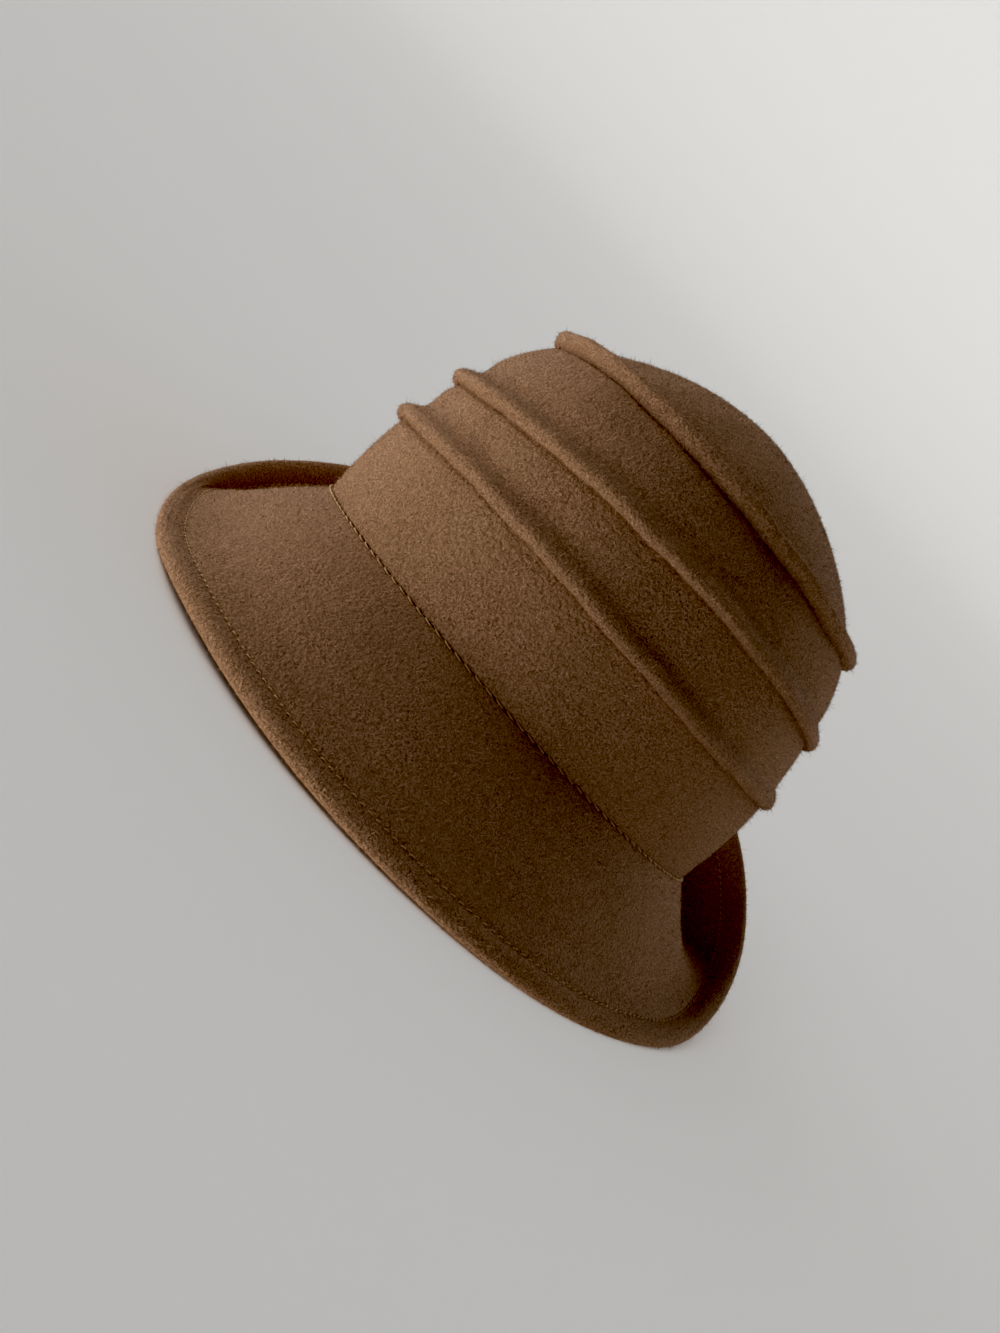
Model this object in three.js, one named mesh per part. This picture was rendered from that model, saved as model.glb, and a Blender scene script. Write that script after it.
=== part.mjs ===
// Cloche hat of wool felt: a crown with three pintucks, sewn over a separate brim that falls
// at the front and turns up round the sides and back.
// Millimetres, +Z up, front towards -Y. The hat stands on Z = 0 by itself, on both sides of its
// brim's front edge and on the fold of its turned-up back, pressed flat where it touches.

import * as THREE from 'three';

// Driving dimensions

const CROWN_FELT = 2.0; // wall of the crown
const BRIM_FELT = 2.2; // wall of the brim
const HEM_FELT = 4.2; // brim felt turned under on itself at the edge
const HEM_WIDTH = 8.6; // from the hem's stitch line to the brim's edge
const STITCH_DIP = 0.5; // how far the stitches pull the felt in
const NOSE_RADIUS = HEM_FELT / 2; // the rounded edge of the hem
const SEAM_GAP = 0.25; // under the crown's lower edge
const COLLAR_GAP = 0.3; // between the crown and the brim's collar
const COLLAR_FELT = 1.8; // the brim's seam allowance, turned up inside the crown
const COLLAR_HEIGHT = 12;
const LENGTH_TO_WIDTH = 1.2; // front to back against side to side, on every level of the crown
const LEAN_BACK = THREE.MathUtils.degToRad(8.35); // of the crown, as the hat rests
const LEAN_LEFT = THREE.MathUtils.degToRad(0.3);
const REST_PRESS = 1.4; // how far resting felt is flattened
const FOLD_SPAN = 16; // from a pintuck's stitch line up to where the wall is plain again

const FACETS_ROUND = 56;
const TIP_ROWS = 7; // from the top pintuck to the tip
const INNER_ROWS = 13; // down the inside of the crown

const FELT_COLOUR = '#8a664a';
const FELT_ROUGHNESS = 0.95;

// The crown's wall from the seam up to the tip, half its width at each height
const CROWN_SECTIONS = [
  { height: 0, halfWidth: 84.2 },
  { height: 12, halfWidth: 84.9 },
  { height: 24, halfWidth: 84.9 },
  { height: 35, halfWidth: 84.2 },
  { height: 48, halfWidth: 82.0 },
  { height: 60, halfWidth: 79.2 },
  { height: 72, halfWidth: 75.4 },
  { height: 82, halfWidth: 69.7 },
  { height: 90, halfWidth: 62.6 },
  { height: 97, halfWidth: 53.2 },
  { height: 103, halfWidth: 43.2 },
  { height: 108.6, halfWidth: 31.4 },
  { height: 113.2, halfWidth: 16.8 },
  { height: 115.4, halfWidth: 0 },
];
const SEAM_HALF_WIDTH = CROWN_SECTIONS[0].halfWidth;

// Lines round the crown, each by its distance up the wall at the front, right, back and left.
// skew raises a line between front and right, and lowers it between front and left. rowsBelow
// counts the rows of vertices on the plain wall below a pintuck's stitch line.
const SEAM_LINE = { front: 0, right: -2, back: 0, left: 2.5, skew: 0 };
const PINTUCK_LINES = [
  { front: 37.4, right: 33.4, back: 33.5, left: 33.0, skew: -1.0, rowsBelow: 4 },
  { front: 63.9, right: 57.2, back: 55.0, left: 54.2, skew: 1.4, rowsBelow: 1 },
  { front: 96.2, right: 85.7, back: 83.5, left: 88.0, skew: -0.3, rowsBelow: 2 },
];

// Section of a pintuck: how far the fold stands out, by distance up from its stitch line
const PINTUCK_FOLD = [
  { up: -2.6, out: 0 },
  { up: -0.4, out: -0.4 },
  { up: -0.8, out: 1.5 },
  { up: 0.2, out: 3.4 },
  { up: 1.8, out: 3.9 },
  { up: 4.4, out: 2.4 },
  { up: 6.6, out: 0.1 },
  { up: 10.5, out: -0.3 },
];

// The brim round the hat, by azimuth in degrees from the front, positive to the hat's right side.
// flare and rise place the edge from the seam, outward and up. The felt leaves the seam at
// seamSlope and meets the edge at edgeSlope, in degrees below level, and the two reaches say
// how long it keeps each slope.
const BRIM_SECTIONS = [
  { azimuth: -180, flare: 27, rise: 28, seamSlope: 52, seamReach: 22, edgeSlope: -80, edgeReach: 60 },
  { azimuth: -150, flare: 27, rise: 24, seamSlope: 50, seamReach: 22, edgeSlope: -78, edgeReach: 57 },
  { azimuth: -125, flare: 29, rise: 12, seamSlope: 47, seamReach: 26, edgeSlope: -72, edgeReach: 46 },
  { azimuth: -105, flare: 31, rise: -7, seamSlope: 44, seamReach: 33, edgeSlope: -66, edgeReach: 30 },
  { azimuth: -87, flare: 33, rise: -25, seamSlope: 43, seamReach: 37, edgeSlope: -57, edgeReach: 13 },
  { azimuth: -60, flare: 34.5, rise: -41.1, seamSlope: 44, seamReach: 24, edgeSlope: 10, edgeReach: 14 },
  { azimuth: -30, flare: 40.2, rise: -47.2, seamSlope: 43, seamReach: 24, edgeSlope: 50, edgeReach: 22 },
  { azimuth: 0, flare: 45.2, rise: -52.4, seamSlope: 40, seamReach: 26, edgeSlope: 58, edgeReach: 26 },
  { azimuth: 30, flare: 45.8, rise: -50.7, seamSlope: 43, seamReach: 26, edgeSlope: 54, edgeReach: 24 },
  { azimuth: 60, flare: 41.2, rise: -42.6, seamSlope: 45, seamReach: 24, edgeSlope: 26, edgeReach: 18 },
  { azimuth: 80, flare: 40.5, rise: -33, seamSlope: 46, seamReach: 20, edgeSlope: -8, edgeReach: 14 },
  { azimuth: 95, flare: 38.5, rise: -19, seamSlope: 45, seamReach: 20, edgeSlope: -32, edgeReach: 16 },
  { azimuth: 115, flare: 35, rise: 1, seamSlope: 47, seamReach: 22, edgeSlope: -62, edgeReach: 30 },
  { azimuth: 140, flare: 30.3, rise: 22, seamSlope: 52, seamReach: 24, edgeSlope: -76, edgeReach: 53 },
];

// Rows of vertices across the brim: shares of its plain felt, then distances in from the edge
const PLAIN_SHARES = [0, 0.12, 0.22, 0.31, 0.41, 0.55, 0.7, 0.86];
const HEM_INSETS = [HEM_WIDTH + 1.2, HEM_WIDTH, HEM_WIDTH - 1.4, 6, NOSE_RADIUS];
const NOSE_STEPS = 5;

// Smooth curve through values at rising knots, read at x, for knots[1] to knots[n - 2]
function smoothThrough(knots, values, x) {
  let i = 1;
  while (i < knots.length - 3 && x > knots[i + 1]) i += 1;
  const slopeAt = (k) => {
    const before = knots[k] - knots[k - 1];
    const after = knots[k + 1] - knots[k];
    const rateBefore = (values[k] - values[k - 1]) / before;
    const rateAfter = (values[k + 1] - values[k]) / after;
    return (rateAfter * before + rateBefore * after) / (before + after);
  };
  const span = knots[i + 1] - knots[i];
  const t = (x - knots[i]) / span;
  const t2 = t * t;
  const t3 = t2 * t;
  return (2 * t3 - 3 * t2 + 1) * values[i]
    + (t3 - 2 * t2 + t) * span * slopeAt(i)
    + (3 * t2 - 2 * t3) * values[i + 1]
    + (t3 - t2) * span * slopeAt(i + 1);
}

// One column of the brim's table at any azimuth, in degrees from -180 to 180
function brimValue(column, azimuth) {
  const rows = BRIM_SECTIONS;
  const last = rows[rows.length - 1];
  const knots = [last.azimuth - 360, ...rows.map((r) => r.azimuth), 180, rows[1].azimuth + 360];
  const values = [last[column], ...rows.map((r) => r[column]), rows[0][column], rows[1][column]];
  return smoothThrough(knots, values, azimuth);
}

// A line's distance up the wall at an angle from the front, in radians
function lineAt(line, angle) {
  const mean = (line.front + line.right + line.back + line.left) / 4;
  return mean
    + ((line.front - line.back) / 2) * Math.cos(angle)
    + ((line.right - line.left) / 2) * Math.sin(angle)
    + ((line.front + line.back - line.right - line.left) / 4) * Math.cos(2 * angle)
    + line.skew * Math.sin(2 * angle);
}

// The crown's wall by distance up it from the seam, mirrored past both ends for the smooth curve
const WALL = (() => {
  const rows = CROWN_SECTIONS;
  const distances = [0];
  for (let i = 1; i < rows.length; i += 1) {
    const step = Math.hypot(rows[i].height - rows[i - 1].height, rows[i].halfWidth - rows[i - 1].halfWidth);
    distances.push(distances[i - 1] + step);
  }
  const length = distances[rows.length - 1];
  const beforeTip = rows[rows.length - 2];
  return {
    length,
    knots: [-distances[1], ...distances, 2 * length - distances[rows.length - 2]],
    heights: [-rows[1].height, ...rows.map((r) => r.height), beforeTip.height],
    halfWidths: [rows[0].halfWidth, ...rows.map((r) => r.halfWidth), -beforeTip.halfWidth],
  };
})();

// Half width, height and outward normal of the plain wall at a distance up it
function wallAt(up) {
  const width = (u) => smoothThrough(WALL.knots, WALL.halfWidths, u);
  const height = (u) => smoothThrough(WALL.knots, WALL.heights, u);
  const low = Math.max(up - 0.5, WALL.knots[0]);
  const rise = height(up + 0.5) - height(low);
  const narrowing = width(low) - width(up + 0.5);
  const length = Math.hypot(rise, narrowing);
  return { halfWidth: width(up), height: height(up), across: rise / length, lift: narrowing / length };
}

// Level outward normal of the oval at an angle from the front
function ovalNormal(angle) {
  return new THREE.Vector2(Math.sin(angle), -Math.cos(angle) / LENGTH_TO_WIDTH).normalize();
}

// Point of the crown at an angle, a distance up the wall, and out from the plain wall's surface
function crownPoint(angle, up, out) {
  const wall = wallAt(up);
  const normal = ovalNormal(angle);
  return new THREE.Vector3(
    wall.halfWidth * Math.sin(angle) + normal.x * out * wall.across,
    -LENGTH_TO_WIDTH * wall.halfWidth * Math.cos(angle) + normal.y * out * wall.across,
    wall.height + out * wall.lift,
  );
}

// Point of the brim at an angle, out from the crown's outer surface and up from the seam's level
function brimPoint(angle, out, up) {
  const normal = ovalNormal(angle);
  return new THREE.Vector3(
    SEAM_HALF_WIDTH * Math.sin(angle) + normal.x * out,
    -LENGTH_TO_WIDTH * SEAM_HALF_WIDTH * Math.cos(angle) + normal.y * out,
    up,
  );
}

// Turns the crown's upright frame into the resting one, before it is set on the ground
function leaned(point) {
  const turn = new THREE.Euler(-LEAN_BACK, -LEAN_LEFT, 0, 'YXZ');
  return point.clone().applyEuler(turn);
}

// Rows of plain wall, evenly stepped from one distance up it to another, without the last
function plainRows(from, to, count) {
  return Array.from({ length: count }, (_, i) => ({ up: from + ((to - from) * i) / count, out: 0 }));
}

// Outer surface of the crown at one angle, from its lower edge to just below the tip
function crownOutside(angle) {
  const rows = [];
  let plainFrom = lineAt(SEAM_LINE, angle);
  for (const line of PINTUCK_LINES) {
    const stitch = lineAt(line, angle);
    rows.push(...plainRows(plainFrom, stitch + PINTUCK_FOLD[0].up, line.rowsBelow));
    rows.push(...PINTUCK_FOLD.map(({ up, out }) => ({ up: stitch + up, out })));
    plainFrom = stitch + FOLD_SPAN;
  }
  return [...rows, ...plainRows(plainFrom, WALL.length, TIP_ROWS)];
}

// Inner surface of the crown at one angle, from just below the tip to its lower edge
function crownInside(angle) {
  const seam = lineAt(SEAM_LINE, angle);
  const rows = [];
  for (let i = 1; i <= INNER_ROWS; i += 1) {
    rows.push({ up: WALL.length + ((seam - WALL.length) * i) / INNER_ROWS, out: -CROWN_FELT });
  }
  return rows;
}

// A closed body from a column of points at each angle, whose rows join round into a loop.
// Where two tips are given, the loop stays open after row tipAfter and closes on them instead.
function sweptRound(columns, tipAfter = -1, tips = []) {
  const rows = columns[0].length;
  const corner = (facet, row) => (facet % columns.length) * rows + (row % rows);
  const points = [...columns.flat(), ...tips];
  const firstTip = columns.length * rows;
  const triangles = [];
  for (let facet = 0; facet < columns.length; facet += 1) {
    for (let row = 0; row < rows; row += 1) {
      const [a, b] = [corner(facet, row), corner(facet + 1, row)];
      const [c, d] = [corner(facet + 1, row + 1), corner(facet, row + 1)];
      if (row === tipAfter) triangles.push(a, b, firstTip, firstTip + 1, c, d);
      else triangles.push(a, b, c, a, c, d);
    }
  }
  const geometry = new THREE.BufferGeometry();
  geometry.setAttribute('position', new THREE.Float32BufferAttribute(points.flatMap((p) => p.toArray()), 3));
  geometry.setIndex(triangles);
  geometry.computeVertexNormals();
  return geometry;
}

function anglesRound() {
  return Array.from({ length: FACETS_ROUND }, (_, i) => -Math.PI + (2 * Math.PI * i) / FACETS_ROUND);
}

// The crown: one wall of felt with its pintucks, open below, its lower edge cut along the seam
function crownGeometry() {
  const columns = anglesRound().map((angle) => {
    const rows = [...crownOutside(angle), ...crownInside(angle)];
    return rows.map(({ up, out }) => leaned(crownPoint(angle, up, out)));
  });
  const tips = [leaned(crownPoint(0, WALL.length, 0)), leaned(crownPoint(0, WALL.length, -CROWN_FELT))];
  return sweptRound(columns, crownOutside(0).length - 1, tips);
}

// The brim's upper surface at an angle, as a curve outward and up from the seam
function brimCurve(angle) {
  const azimuth = THREE.MathUtils.radToDeg(angle);
  const seamSlope = THREE.MathUtils.degToRad(brimValue('seamSlope', azimuth));
  const edgeSlope = THREE.MathUtils.degToRad(brimValue('edgeSlope', azimuth));
  const seamReach = brimValue('seamReach', azimuth);
  const edgeReach = brimValue('edgeReach', azimuth);
  const edge = new THREE.Vector2(brimValue('flare', azimuth), brimValue('rise', azimuth));
  const afterSeam = new THREE.Vector2(Math.cos(seamSlope), -Math.sin(seamSlope)).multiplyScalar(seamReach);
  const beforeEdge = new THREE.Vector2(-Math.cos(edgeSlope), Math.sin(edgeSlope)).multiplyScalar(edgeReach);
  return new THREE.CubicBezierCurve(new THREE.Vector2(0, 0), afterSeam, beforeEdge.add(edge), edge);
}

// How thick the brim is, and how far its upper surface stands above the curve, by distance
// in from the edge. Near the edge the curve runs along the middle of the hem.
function brimFelt(inset) {
  const hemmed = inset < HEM_WIDTH;
  const dip = Math.abs(inset - HEM_WIDTH) < 0.1 ? STITCH_DIP : 0;
  const swell = THREE.MathUtils.smoothstep(-inset, -2.2 * HEM_WIDTH, -NOSE_RADIUS);
  return { thickness: (hemmed ? HEM_FELT : BRIM_FELT) - dip, above: NOSE_RADIUS * swell - dip };
}

// One section of the brim, leaned back: out under the brim, round its edge, in over the top,
// up the outside of the collar and down its inside
function brimSection(angle) {
  const curve = brimCurve(angle);
  const length = curve.getLength();
  const seam = lineAt(SEAM_LINE, angle) - SEAM_GAP;
  const place = ({ x, y }) => leaned(brimPoint(angle, x, y + seam * (1 - Math.max(0, x) / curve.v3.x)));
  const insets = [...PLAIN_SHARES.map((share) => length - share * (length - HEM_WIDTH)), ...HEM_INSETS];
  const under = [];
  const over = [];
  for (const inset of insets) {
    const along = 1 - inset / length;
    const middle = curve.getPointAt(along);
    const tangent = curve.getTangentAt(along);
    const normal = new THREE.Vector2(-tangent.y, tangent.x);
    const { thickness, above } = brimFelt(inset);
    over.push(place(middle.clone().addScaledVector(normal, above)));
    under.push(place(middle.clone().addScaledVector(normal, above - thickness)));
  }
  const tangent = curve.getTangentAt(1);
  const noseCentre = curve.getPointAt(1 - NOSE_RADIUS / length);
  const nose = [];
  for (let i = 1; i < NOSE_STEPS; i += 1) {
    const turn = -Math.PI / 2 + (Math.PI * i) / NOSE_STEPS;
    const arm = tangent.clone().rotateAround(new THREE.Vector2(0, 0), turn);
    nose.push(place(noseCentre.clone().addScaledVector(arm, NOSE_RADIUS)));
  }
  const outer = -CROWN_FELT - COLLAR_GAP;
  const inner = outer - COLLAR_FELT;
  const collar = [
    { x: outer, y: 0 },
    { x: outer, y: COLLAR_HEIGHT / 2 },
    { x: outer, y: COLLAR_HEIGHT },
    { x: inner, y: COLLAR_HEIGHT },
    { x: inner, y: COLLAR_HEIGHT / 2 },
    { x: inner, y: -COLLAR_FELT / 2 },
  ].map(place);
  return { under, nose, over, collar };
}

// Presses a section flat on the ground: the nose alone, and the rest through its whole thickness
function pressed({ under, nose, over, collar }, ground) {
  under.forEach((point, i) => {
    const lift = Math.max(0, ground - point.z);
    point.z += lift;
    over[i].z += lift;
  });
  nose.forEach((point) => {
    point.z = Math.max(point.z, ground);
  });
  return [...under, ...nose, ...over.reverse(), ...collar];
}

// The brim: one piece of felt, with its edge turned under and its seam allowance as a collar
function brimGeometry() {
  const sections = anglesRound().map(brimSection);
  const heights = sections.flatMap(({ under, nose }) => [...under, ...nose]).map((point) => point.z);
  const ground = Math.min(...heights) + REST_PRESS;
  return sweptRound(sections.map((section) => pressed(section, ground)));
}

function felt(name, geometry) {
  const material = new THREE.MeshStandardMaterial({
    color: FELT_COLOUR,
    roughness: FELT_ROUGHNESS,
    metalness: 0,
  });
  const mesh = new THREE.Mesh(geometry, material);
  mesh.name = name;
  return mesh;
}

const hat = new THREE.Group();
hat.add(felt('crown', crownGeometry()), felt('brim', brimGeometry()));

// The origin is under the middle of the hat, on the ground
const bounds = new THREE.Box3().setFromObject(hat);
const middle = bounds.getCenter(new THREE.Vector3());
hat.position.set(-middle.x, -middle.y, -bounds.min.z);

export default hat;
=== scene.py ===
"""Cloche hat of wool felt: a crown with three pintucks, stitched over a separate brim whose edge
is hemmed. The hat rests by itself on a pale studio floor."""

import math

import bpy
import numpy as np
from mathutils import Matrix, Vector


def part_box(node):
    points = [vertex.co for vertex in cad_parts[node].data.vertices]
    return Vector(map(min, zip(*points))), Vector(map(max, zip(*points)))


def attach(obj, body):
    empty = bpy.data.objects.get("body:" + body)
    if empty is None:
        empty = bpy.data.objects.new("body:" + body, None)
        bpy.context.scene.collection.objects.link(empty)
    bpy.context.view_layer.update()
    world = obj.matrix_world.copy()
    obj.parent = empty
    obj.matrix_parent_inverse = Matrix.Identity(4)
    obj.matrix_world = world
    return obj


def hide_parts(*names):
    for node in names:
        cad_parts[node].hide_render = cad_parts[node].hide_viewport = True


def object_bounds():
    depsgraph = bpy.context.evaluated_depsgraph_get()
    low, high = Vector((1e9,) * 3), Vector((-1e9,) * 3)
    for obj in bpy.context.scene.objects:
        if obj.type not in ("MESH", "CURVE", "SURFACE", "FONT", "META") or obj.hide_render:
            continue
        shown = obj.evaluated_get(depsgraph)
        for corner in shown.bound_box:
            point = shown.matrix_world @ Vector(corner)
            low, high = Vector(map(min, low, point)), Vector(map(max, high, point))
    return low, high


bl_info = {
    "name": "Felt Cloche Hat",
    "version": (1, 0, 0),
    "blender": (4, 5, 0),
    "location": "View3D > Sidebar > Cloche",
    "description": "Builds a wool felt cloche with its pintucks, stitching and nap, and its studio",
    "category": "Add Mesh",
}

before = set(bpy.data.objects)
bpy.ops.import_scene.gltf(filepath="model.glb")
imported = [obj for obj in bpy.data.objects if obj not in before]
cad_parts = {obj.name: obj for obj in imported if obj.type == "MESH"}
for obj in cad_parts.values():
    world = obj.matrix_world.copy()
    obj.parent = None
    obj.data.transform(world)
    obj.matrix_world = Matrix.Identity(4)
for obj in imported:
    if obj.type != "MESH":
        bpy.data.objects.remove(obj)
CAD_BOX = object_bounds()
CAD_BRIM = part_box("brim")

MM = 0.001

# ---------------------------------------------------------------- the pattern, in millimetres

# Left and right are those of someone who faces the front of the hat.
LENGTH_TO_WIDTH = 1.2  # front to back against side to side, on every level of the crown
LEAN_BACK = math.radians(8.35)  # of the crown, as the hat rests
LEAN_LEFT = math.radians(0.3)
REST_PRESS = 1.4  # how far resting felt is flattened
SEAM_GAP = 0.25  # under the crown's lower edge
COLLAR_GAP = 0.3  # between the crown and the brim's seam allowance inside it
COLLAR_FELT = 1.8
COLLAR_HEIGHT = 12.0
COLLAR_CORNER = 0.4  # cut off both corners of the collar's upper edge
FOLD_SPAN = 16.0  # from a pintuck's stitch line up to where the wall is plain again
CREASE_DEPTH = 0.9  # of a pintuck, inside the crown
CREASE_WIDTH = 2.2

# Felt blocked and sewn by hand: how far each line or surface strays
SEWING_WANDER = 0.35
FOLD_UNEVENNESS = 0.07  # of a pintuck's height
VALLEY_UNEVENNESS = 0.4  # of the depth above a pintuck
CROWN_WAVES = 0.55
EVEN_AT_SEAM = 8.0  # up the wall to where the waves are full
EVEN_AT_TIP = 30.0
BRIM_WAVES = 0.35
BRIM_EVEN_AT_SEAM = 25.0
# Each wave's share, count round the hat, span across it and phase
HAND_WAVES = (
    (0.45, 5, 23, 0.4),
    (0.32, 9, -13, 2.1),
    (0.23, 14, 17, 4.0),
)

# Cut lower edge of the crown, from inside to outside: up from the seam line and out from the
# crown's outer surface. The two corners beside it are lifted to round them off.
CUT_EDGE_COLUMNS = ("up", "out")
CUT_EDGE = (
    (0.1, -1.8),
    (0.0, -1.0),
    (0.1, -0.2),
)
OUTER_CORNER = 0.3
INNER_CORNER = 0.45

# The crown's wall from the seam up to the tip, half its width at each height
CROWN_COLUMNS = ("height", "half_width")
CROWN_SECTIONS = (
    (0, 84.2),
    (12, 84.9),
    (24, 84.9),
    (35, 84.2),
    (48, 82.0),
    (60, 79.2),
    (72, 75.4),
    (82, 69.7),
    (90, 62.6),
    (97, 53.2),
    (103, 43.2),
    (108.6, 31.4),
    (113.2, 16.8),
    (115.4, 0),
)

# Lines round the crown, each by its distance up the wall at the front, right, back and left.
# skew raises it between front and right, and lowers it between front and left.
# stand and valley are shares of the fold section's height and of the depth above it.
SEAM_LINE = {"front": 0.0, "right": -2.0, "back": 0.0, "left": 2.5, "skew": 0.0}
PINTUCKS = (
    {
        "line": {"front": 37.4, "right": 33.4, "back": 33.5, "left": 33.0, "skew": -1.0},
        "stand": {"front": 0.9, "right": 0.75, "back": 0.8, "left": 0.95, "skew": 0.0},
        "valley": {"front": 1.2, "right": 0.2, "back": 0.5, "left": 1.1, "skew": 0.0},
    },
    {
        "line": {"front": 63.9, "right": 57.2, "back": 55.0, "left": 54.2, "skew": 1.4},
        "stand": {"front": 1.0, "right": 0.85, "back": 0.85, "left": 1.0, "skew": 0.0},
        "valley": {"front": 1.3, "right": 0.2, "back": 0.5, "left": 1.2, "skew": 0.0},
    },
    {
        "line": {"front": 96.2, "right": 85.7, "back": 83.5, "left": 88.0, "skew": -0.3},
        "stand": {"front": 1.45, "right": 1.05, "back": 0.9, "left": 1.3, "skew": 0.0},
        "valley": {"front": 0.9, "right": 0.4, "back": 0.5, "left": 0.8, "skew": 0.0},
    },
)

# Section of a pintuck laid down towards the brim: how far the felt stands out from the plain
# wall, by distance up from the stitch line, round the fold and down into the valley above it
FOLD_COLUMNS = ("up", "out")
FOLD_SECTION = (
    (-2.6, 0.0),
    (-1.2, -0.1),
    (-0.4, -0.4),
    (-0.7, 0.5),
    (-0.9, 1.5),
    (-0.6, 2.6),
    (0.2, 3.5),
    (1.3, 3.95),
    (2.6, 3.7),
    (3.8, 2.9),
    (4.8, 1.85),
    (5.7, 0.8),
    (6.6, 0.05),
    (8.0, -0.45),
    (10.4, -0.45),
    (13.2, -0.15),
    (16.0, 0.0),
)

# The brim round the hat, by azimuth in degrees from the front, positive to the right.
# flare and rise place the edge from the seam, outward and up. The felt leaves the seam at
# seam_slope and meets the edge at edge_slope, in degrees below level, and the two reaches say
# how long it keeps each slope.
BRIM_COLUMNS = ("azimuth", "flare", "rise", "seam_slope", "seam_reach", "edge_slope", "edge_reach")
BRIM_SECTIONS = (
    (-180, 27, 28, 52, 22, -80, 60),
    (-150, 27, 24, 50, 22, -78, 57),
    (-125, 29, 12, 47, 26, -72, 46),
    (-105, 31, -7, 44, 33, -66, 30),
    (-87, 33, -25, 43, 37, -57, 13),
    (-60, 34.5, -41.1, 44, 24, 10, 14),
    (-30, 40.2, -47.2, 43, 24, 50, 22),
    (0, 45.2, -52.4, 40, 26, 58, 26),
    (30, 45.8, -50.7, 43, 26, 54, 24),
    (60, 41.2, -42.6, 45, 24, 26, 18),
    (80, 40.5, -33, 46, 20, -8, 14),
    (95, 38.5, -19, 45, 20, -32, 16),
    (115, 35, 1, 47, 22, -62, 30),
    (140, 30.3, 22, 52, 24, -76, 53),
)

# The felt thickens evenly towards the hem above, and below it steps up to the cut edge of the
# layer turned under. The stitches draw it down in a shallow dip with a sharp pinch in it, and it
# puffs up between them and the edge.
HEM_THICKENING = 2.6  # where it starts, in hem widths from the edge
CUT_LAYER = (1.65, 1.5)  # foot and top of the step, in from the stitches
HEM_DIP = 0.4
HEM_DIP_WIDTH = 1.9
HEM_PINCH = 0.25
HEM_PINCH_WIDTH = 0.6
HEM_PUFF = 0.6
UNDER_STITCH = 1.5  # share of the dip that shows below
UNDER_PUFF = 0.7

# Stitches as they show: length, height over the felt, depth of the ends in it, and slant
SEAM_STITCH = {"visible": 3.4, "height": 0.35, "sunk": 0.5, "slant": -0.5}
HEM_STITCH = {"visible": 2.1, "height": 0.5, "sunk": 0.35, "slant": 0.4}
SEAM_BAND = (-0.9, -0.2, 1.6)  # rows up from the seam line, the middle one along the stitches
SEAM_BAND_OUT = 0.5
STITCH_POINTS = 7
THREAD_SIDES = 6
THREAD_TAPER = 0.6  # share of the thread's thickness left where it enters the felt

# ---------------------------------------------------------------- how finely each piece is meshed

AROUND = 540  # columns round the hat
FOLD_ROWS = 35
WALL_ROWS = (14, 7, 7)  # on the plain wall below each pintuck
TIP_ROWS = 20
INNER_ROWS = 22
BRIM_ROWS = 44
NOSE_ROWS = 9
# Rows across the hem, by distance in from the brim's edge
HEM_INSETS = (
    *(12.4, 11.4, 10.7, 10.4, 10.1, 9.7, 9.3, 8.9, 8.6, 8.3, 7.9, 7.4),
    *(6.8, 6.0, 5.2, 4.4, 3.6, 2.8, 2.1),
)
CURVE_SAMPLES = 240
SLOPE_REACH = 0.5  # each way along the wall, to read its slope

# ---------------------------------------------------------------- nap, in millimetres and radians

NAP_SEED = 11
NAP_FIBRES = 170_000  # on each of the crown and the brim
CLUMP_LENGTH = 3.0  # from one tuft of fibres that lie the same way to the next
CLUMP_WAVES = 6
SWIRL_TURN = 1.8  # of the fibres in a swirl
FIBRE_TURN = 0.6  # between neighbours in a tuft
FIBRE_RISE = (0.3, 0.2)  # off the felt, mean and spread
RISE_LIMITS = (0.05, 1.2)
LENGTH_SHARES = (0.5, 1.4)  # shortest and longest, as shares of the mean
STRAY_SHARE = 0.06  # of the fibres that stand off longer than the rest
STRAY_LENGTH = 2.0
STRAY_RISE = 1.6
ROOT_DEPTH = 0.05

# ---------------------------------------------------------------- studio, in metres and degrees

ROOM_LIGHT = 0.01
BLACK_LEVEL = 0.02  # of the picture, as a camera crushes its darkest tones
SWEEP_FLOOR = 2.2  # radius of the flat floor
SWEEP_COVE = 0.8
SWEEP_WALL = 1.3
SWEEP_ROWS = 12
SWEEP_COLUMNS = 96
# What the camera aims at on the upright hat, in millimetres from the middle of its seam
AIM_RIGHT = -5.74
AIM_UP = 1.56


def column(table, names, name):
    """One named column of a table."""
    return np.array([row[names.index(name)] for row in table], float)


# ---------------------------------------------------------------- curves


def smooth_through(knots, values, x):
    """Smooth curve through values at rising knots, read at x from knots[1] to knots[-2]."""
    step = np.diff(knots)
    rate = np.diff(values) / step
    slope = np.zeros(len(knots))
    slope[1:-1] = (rate[1:] * step[:-1] + rate[:-1] * step[1:]) / (step[:-1] + step[1:])
    i = np.clip(np.searchsorted(knots, x) - 1, 1, len(knots) - 3)
    span = knots[i + 1] - knots[i]
    t = (x - knots[i]) / span
    start = (2 * t**3 - 3 * t**2 + 1) * values[i] + (t**3 - 2 * t**2 + t) * span * slope[i]
    end = (3 * t**2 - 2 * t**3) * values[i + 1] + (t**3 - t**2) * span * slope[i + 1]
    return start + end


def smooth_step(low, high, x):
    """0 below low and 1 above high, with an even rise between."""
    t = np.clip((x - low) / (high - low), 0, 1)
    return t * t * (3 - 2 * t)


def groove(x, centre, width):
    """1 on a stitch line and 0 away from it, about width wide."""
    return np.exp(-(((x - centre) / width) ** 2))


def hand_waves(angle, across):
    """The slow unevenness of hand-blocked felt, within about 1, by angle and distance across."""
    return sum(
        share * np.sin(count * angle + across / span + phase)
        for share, count, span, phase in HAND_WAVES
    )


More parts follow.
